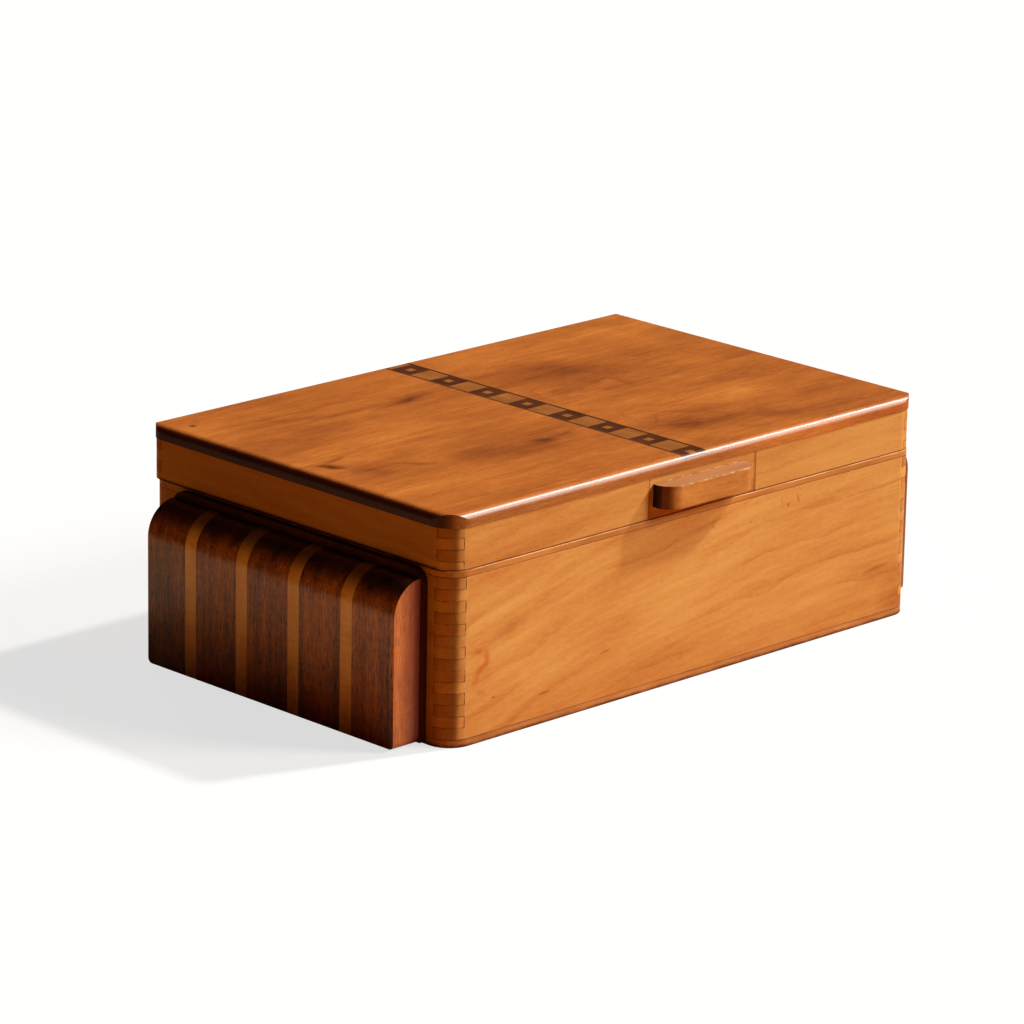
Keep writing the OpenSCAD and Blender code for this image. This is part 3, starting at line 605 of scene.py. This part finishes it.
# Each mark on the top has its centre in X and Y, half sizes, tilt in degrees and depth.
front_clouds = [
    ((-148, -28), (44, 34), 0, 0.34),
    ((-80, -42), (66, 28), 0, 0.18),
    ((-45, -50), (30, 16), 10, 0.22),
    ((-35, -32), (66, 34), 0, 0.16),
    ((38, -74), (46, 22), -12, 0.31),
    ((108, -52), (60, 30), -6, -0.26),
    ((96, -92), (62, 15), -9, 0.28),
]
front_knots = [
    ((-43.5, -49.5), (10, 5), -20, 0.65),
    ((-30, -46), (16, 2.5), 12, 0.5),
    ((-165, -10), (6, 12), 30, 1.0),
    ((-150, 2), (24, 3.2), 20, 0.55),
    ((-128, -33), (16, 3), -50, 0.35),
]
rear_clouds = [
    ((50, 52), (66, 48), -6, 0.29),
    ((85, 18), (90, 26), 0, 0.14),
    ((-45, 62), (46, 15), -8, 0.28),
    ((-95, 68), (80, 14), -9, 0.18),
    ((-95, 105), (30, 12), 0, 0.18),
    ((-120, 42), (60, 26), 0, 0.12),
    ((140, 96), (60, 26), 0, -0.22),
    ((130, 20), (50, 24), 0, -0.14),
]
rear_knots = [
    ((-44.8, 59), (11, 5), 8, 0.6),
    ((-60, 57), (16, 2.4), 8, 0.4),
    ((-171, 99), (2.4, 3.4), 0, 1.0),
]
front_arc = ((45, -70), (60, 42), -20, 2.4)
rear_arc = ((40, -6), (60, 60), 10, 2.8)
front_cherry = figured_cherry("figured_cherry_front", (0, 0, 0), front_clouds, front_knots, front_arc)
dress("top_board_front", front_cherry, 0)
rear_cherry = figured_cherry("figured_cherry_rear", (700, 0, 0), rear_clouds, rear_knots, rear_arc)
dress("top_board_rear", rear_cherry, 0)


# Inlaid band
# Dark and light veneer squares by turns, each dark one with a light centre, between two dark
# lines. The band is let into the top and levelled with it.

def veneer(name, dark, pale, start):
    """Walnut, cherry or dyed veneer. The eye sees short straight fibres along the band."""
    material = new_material(name)
    tree = material.node_tree
    place = grain_space(tree, "Y", start)[1]
    tones = streaks(tree, place, 14, 7, 2.0)
    fibres = streaks(tree, place, 8, 0.6, 3.0, 0.6)
    figure = blend_figure(tree, [(tones, 0.8), (fibres, 0.6)])
    colour = add(tree, "ValToRGB", {0: figure}, stops=[(0.2, dark), (0.8, pale)])["Color"]
    return polished(varnished(material, colour, fibres, 0.015, 0.45, 0.25))


dress("inlay_dark_squares", veneer("dark_veneer", "#44200a", "#6e3818", (0, 0, 0)), 0)
dress("inlay_light_squares", veneer("light_veneer", "#915320", "#bd7236", (50, 0, 0)), 0)
dress("inlay_light_centres", veneer("light_veneer_centres", "#915320", "#bd7538", (90, 0, 0)), 0)
dress("inlay_line_left", veneer("ebonised_line_left", "#4a2812", "#7d4a24", (120, 0, 0)), 0)
dress("inlay_line_right", veneer("ebonised_line_right", "#3a1e0c", "#66381a", (150, 0, 0)), 0)


# Pull
# A bar of the top's cherry with its free corners rounded, screwed to the block let into the lid.
# A pale highlight is painted along its upper edges, its ends have drunk in the stain, and glue shows behind
# it.

pull_back, pull_top = corners("pull")[1][1:]
pull_front = corners("pull")[0][1]


def pull_cherry(name):
    """Red brown cherry with fibres along the bar, dark end grain and a painted pale highlight along its upper
    edges.
    """
    material = new_material(name)
    tree = material.node_tree
    spot, place, cut = grain_space(tree, "X", (0, 0, 0))
    tones = streaks(tree, place, 30, 7, 2.0)
    fibres = streaks(tree, place, 12, 0.6, 3.0, 0.6)
    pores = streaks(tree, place, 3, 1.2, 2.0, 0.6)
    figure = blend_figure(tree, [(tones, 0.8), (fibres, 0.5), (pores, 0.4)])
    colour = add(tree, "ValToRGB", {0: figure}, stops=[(0.2, "#9e5a26"), (0.8, "#d28c44")])["Color"]
    end_grain = add(tree, "MapRange", {0: cut, 1: 0.35, 2: 0.8}, interpolation_type="SMOOTHSTEP")[0]
    colour = stained(tree, colour, end_grain, 0.85, "#926238")
    soaked = add(tree, "MapRange", {0: cut, 1: 0.9, 2: 0.96})[0]
    colour = stained(tree, colour, soaked, 0.9, "#3a1c10")
    # A greyish sheen is painted on the upper face.
    up = add(tree, "SeparateXYZ", {0: add(tree, "TexCoord")["Normal"]})["Z"]
    painted_top_sheen = add(tree, "MapRange", {0: up, 1: 0.7, 2: 0.95, 4: 0.35})[0]
    colour = add(tree, "MixRGB", {0: painted_top_sheen, 1: colour, 2: srgb("#c08a68")})[0]
    # Glue shows along the back. A pale highlight is painted in patches along the upper edges.
    spot = add(tree, "SeparateXYZ", {0: spot})
    off_back = add(tree, "Math", {0: pull_back, 1: spot["Y"]}, operation="SUBTRACT")[0]
    glue = add(tree, "MapRange", {0: off_back, 1: 0.4, 2: 1.0, 3: 1.0, 4: 0.0})[0]
    colour = stained(tree, colour, glue, 0.6, "#7c4c34")
    back_edge = add(tree, "MapRange", {0: off_back, 1: 0.4, 2: 0.9, 3: 1.0, 4: 0.0})[0]
    off_front = add(tree, "Math", {0: spot["Y"], 1: pull_front}, operation="SUBTRACT")[0]
    front_edge = add(tree, "MapRange", {0: off_front, 1: 0.3, 2: 0.9, 3: 1.0, 4: 0.0})[0]
    edges = add(tree, "Math", {0: front_edge, 1: back_edge}, operation="MAXIMUM")[0]
    down = add(tree, "Math", {0: pull_top, 1: spot["Z"]}, operation="SUBTRACT")[0]
    at_top = add(tree, "MapRange", {0: down, 1: 0.4, 2: 0.8, 3: 1.0, 4: 0.0})[0]
    painted_edge_highlight = add(tree, "Math", {0: edges, 1: at_top}, operation="MULTIPLY")[0]
    patchy = add(tree, "MapRange", {0: streaks(tree, place, 3.5, 1.5, 1.0), 1: 0.47, 2: 0.6})[0]
    painted_edge_highlight = add(tree, "Math", {0: painted_edge_highlight, 1: patchy}, operation="MULTIPLY")[0]
    colour = add(tree, "MixRGB", {0: painted_edge_highlight, 1: colour, 2: srgb("#e6b88e")})[0]
    return varnished(material, colour, fibres, 0.02, 0.42, 0.2)


dress("pull", pull_cherry("cherry_pull"), 0.4)


# Hinges and screws
# Two brass butt hinges let into the back of the rim and the lid, each with a loose pin and
# countersunk slotted screws. Two longer screws hold the pull from inside.

def worn_brass(name, roughness):
    """Brass, brushed or turned and gone a little dull. The scratches are drawn coarser than real ones."""
    material = new_material(name)
    tree = material.node_tree
    shader = tree.nodes["Principled BSDF"]
    place = grain_space(tree, "X", (0, 0, 0))[1]
    scratches = streaks(tree, place, 10, 0.15, 2.0)
    tarnish = streaks(tree, place, 6, 4, 3.0)
    colour = add(tree, "ValToRGB", {0: tarnish}, stops=[(0.3, "#8f6c30"), (0.7, "#c9a254")])["Color"]
    sheen = add(tree, "MapRange", {0: scratches, 3: roughness - 0.08, 4: roughness + 0.1})[0]
    bump = add(tree, "Bump", {"Height": scratches, "Strength": 1.0, "Distance": 0.00001})["Normal"]
    tree.links.new(colour, shader.inputs["Base Color"])
    tree.links.new(sheen, shader.inputs["Roughness"])
    tree.links.new(bump, shader.inputs["Normal"])
    shader.inputs["Metallic"].default_value = 1.0
    return material


leaf_brass = worn_brass("brushed_brass", 0.35)
screw_brass = worn_brass("turned_brass", 0.28)
for side in ("left", "right"):
    dress(f"{side}_hinge_base_leaf", leaf_brass, 0)
    dress(f"{side}_hinge_lid_leaf", leaf_brass, 0)
    dress(f"{side}_hinge_pin", screw_brass, 0)
for node in ("hinge_base_screws", "hinge_lid_screws", "pull_screws"):
    dress(node, screw_brass, 0)


# Table, light and camera
# A white table in sunlight from the right and a soft window beside it. The room is dark, so the
# varnish has little to mirror but the table, which throws a warm light back up.

floor_mesh = bpy.data.meshes.new("table_top")
half = 12.0
table_corners = [(-half, -half, 0), (half, -half, 0), (half, half, 0), (-half, half, 0)]
floor_mesh.from_pydata(table_corners, [], [(0, 1, 2, 3)])
floor = bpy.data.objects.new("table_top", floor_mesh)
bpy.context.scene.collection.objects.link(floor)

pale_table = new_material("pale_table")
tree = pale_table.node_tree
tree.nodes.clear()
rays = add(tree, "LightPath")
# The table is cream in reflections, and the light that it throws back up is warmer.
glossy, transmitted = rays["Is Glossy Ray"], rays["Is Transmission Ray"]
mirrored = add(tree, "Math", {0: glossy, 1: transmitted}, operation="MAXIMUM")[0]
bounce = add(tree, "BsdfDiffuse", {"Color": srgb("#ce8630")})[0]
cream = add(tree, "BsdfDiffuse", {"Color": srgb("#fde3bf")})[0]
table = add(tree, "MixShader", {0: mirrored, 1: bounce, 2: cream})[0]
# To the eye the table is white, and the shadow on it light, as under a studio's fill.
pale = add(tree, "BsdfDiffuse", {"Color": srgb("#f9f9f9")})[0]
white = add(tree, "Emission", {"Color": srgb("#ffffff"), "Strength": 1.0})[0]
seen_table = add(tree, "MixShader", {0: 0.7, 1: pale, 2: white})[0]
lit_table = add(tree, "MixShader", {0: rays["Is Camera Ray"], 1: table, 2: seen_table})[0]
add(tree, "OutputMaterial", {"Surface": lit_table})
floor_mesh.materials.append(pale_table)

# The room is white behind the box and lights it only faintly.
world = bpy.data.worlds.new("room")
bpy.context.scene.world = world
world.use_nodes = True
tree = world.node_tree
tree.nodes.clear()
rays = add(tree, "LightPath")
seen = add(tree, "Math", {0: rays["Is Camera Ray"], 1: rays["Is Glossy Ray"]}, operation="MAXIMUM")[0]
seen = add(tree, "Math", {0: seen, 1: rays["Is Transmission Ray"]}, operation="MAXIMUM")[0]
room = add(tree, "Background", {"Color": srgb("#ffbc6c"), "Strength": 0.02})[0]
white = add(tree, "Background", {"Color": srgb("#ffffff"), "Strength": 1.0})[0]
both = add(tree, "MixShader", {0: seen, 1: room, 2: white})[0]
add(tree, "OutputWorld", {"Surface": both})


def sun(name, azimuth, elevation, angle, strength, colour):
    """Distant lamp. Azimuth is from the front (-Y) towards the right (+X), all in degrees."""
    a, e = math.radians(azimuth), math.radians(elevation)
    towards = Vector((math.sin(a) * math.cos(e), -math.cos(a) * math.cos(e), math.sin(e)))
    lamp = bpy.data.lights.new(name, "SUN")
    lamp.energy = strength
    lamp.angle = math.radians(angle)
    lamp.color = colour
    lamp.cycles.use_multiple_importance_sampling = False
    lamp_object = bpy.data.objects.new(name, lamp)
    lamp_object.rotation_mode = "QUATERNION"
    lamp_object.rotation_quaternion = towards.to_track_quat("Z", "Y")
    bpy.context.scene.collection.objects.link(lamp_object)
    return lamp_object


sun("low_sun", 71, 42.5, 3.5, 3.0, (1.0, 0.97, 0.92))
sun("soft_window", 43, 29, 20, 2.7, (1.0, 0.97, 0.93))
# A weak light from behind shows the back and the right end. The varnish doesn't mirror it.
back_light = sun("back_window", 152, 10, 20, 0.9, (1.0, 0.95, 0.88))
back_light.visible_glossy = False

# Dark curtains all round, close to the box. Only reflections see them.
curtain_mesh = bpy.data.meshes.new("dark_curtain")
ring, rise, radius, height = 48, 12, 0.47, 0.6
points = []
for j in range(rise + 1):
    tilt = math.pi / 2 * j / rise
    for i in range(ring):
        turn = 2 * math.pi * i / ring
        points.append((radius * math.cos(tilt) * math.cos(turn), radius * math.cos(tilt) * math.sin(turn),
                       0.001 + height * math.sin(tilt)))
faces = [(j * ring + i, j * ring + (i + 1) % ring, (j + 1) * ring + (i + 1) % ring, (j + 1) * ring + i)
         for j in range(rise) for i in range(ring)]
curtain_mesh.from_pydata(points, [], faces)
curtain = bpy.data.objects.new("dark_curtain", curtain_mesh)
bpy.context.scene.collection.objects.link(curtain)
curtain.visible_camera = False
curtain.visible_diffuse = False
curtain.visible_shadow = False
curtain.visible_transmission = False
felt = new_material("dark_felt")
tree = felt.node_tree
tree.nodes.clear()
dark = add(tree, "Emission", {"Color": srgb("#ffcbaa"), "Strength": 0.01})[0]
add(tree, "OutputMaterial", {"Surface": dark})
curtain_mesh.materials.append(felt)

# The camera stands off the box's front left corner, a little above it, with a long lens.
view_yaw, view_pitch, view_roll = (math.radians(angle) for angle in (-44.776, 16.828, 1.065))
distance, aside, above = 2.9757, -0.01295, 0.0647
back = Vector((math.sin(view_yaw) * math.cos(view_pitch), -math.cos(view_yaw) * math.cos(view_pitch),
               math.sin(view_pitch)))
level_right = (-back).cross(Vector((0, 0, 1))).normalized()
level_up = level_right.cross(-back)
right = math.cos(view_roll) * level_right + math.sin(view_roll) * level_up
up = -math.sin(view_roll) * level_right + math.cos(view_roll) * level_up
lens = bpy.data.cameras.new("camera")
lens.sensor_width = 36
lens.lens = 186.3
lens.clip_end = 100
camera = bpy.data.objects.new("camera", lens)
camera.matrix_world = Matrix.Translation(back * distance + right * aside + up * above) @ Matrix(
    (right, up, back)).transposed().to_4x4()
bpy.context.scene.collection.objects.link(camera)
bpy.context.scene.camera = camera
bpy.context.scene.view_settings.view_transform = "Standard"
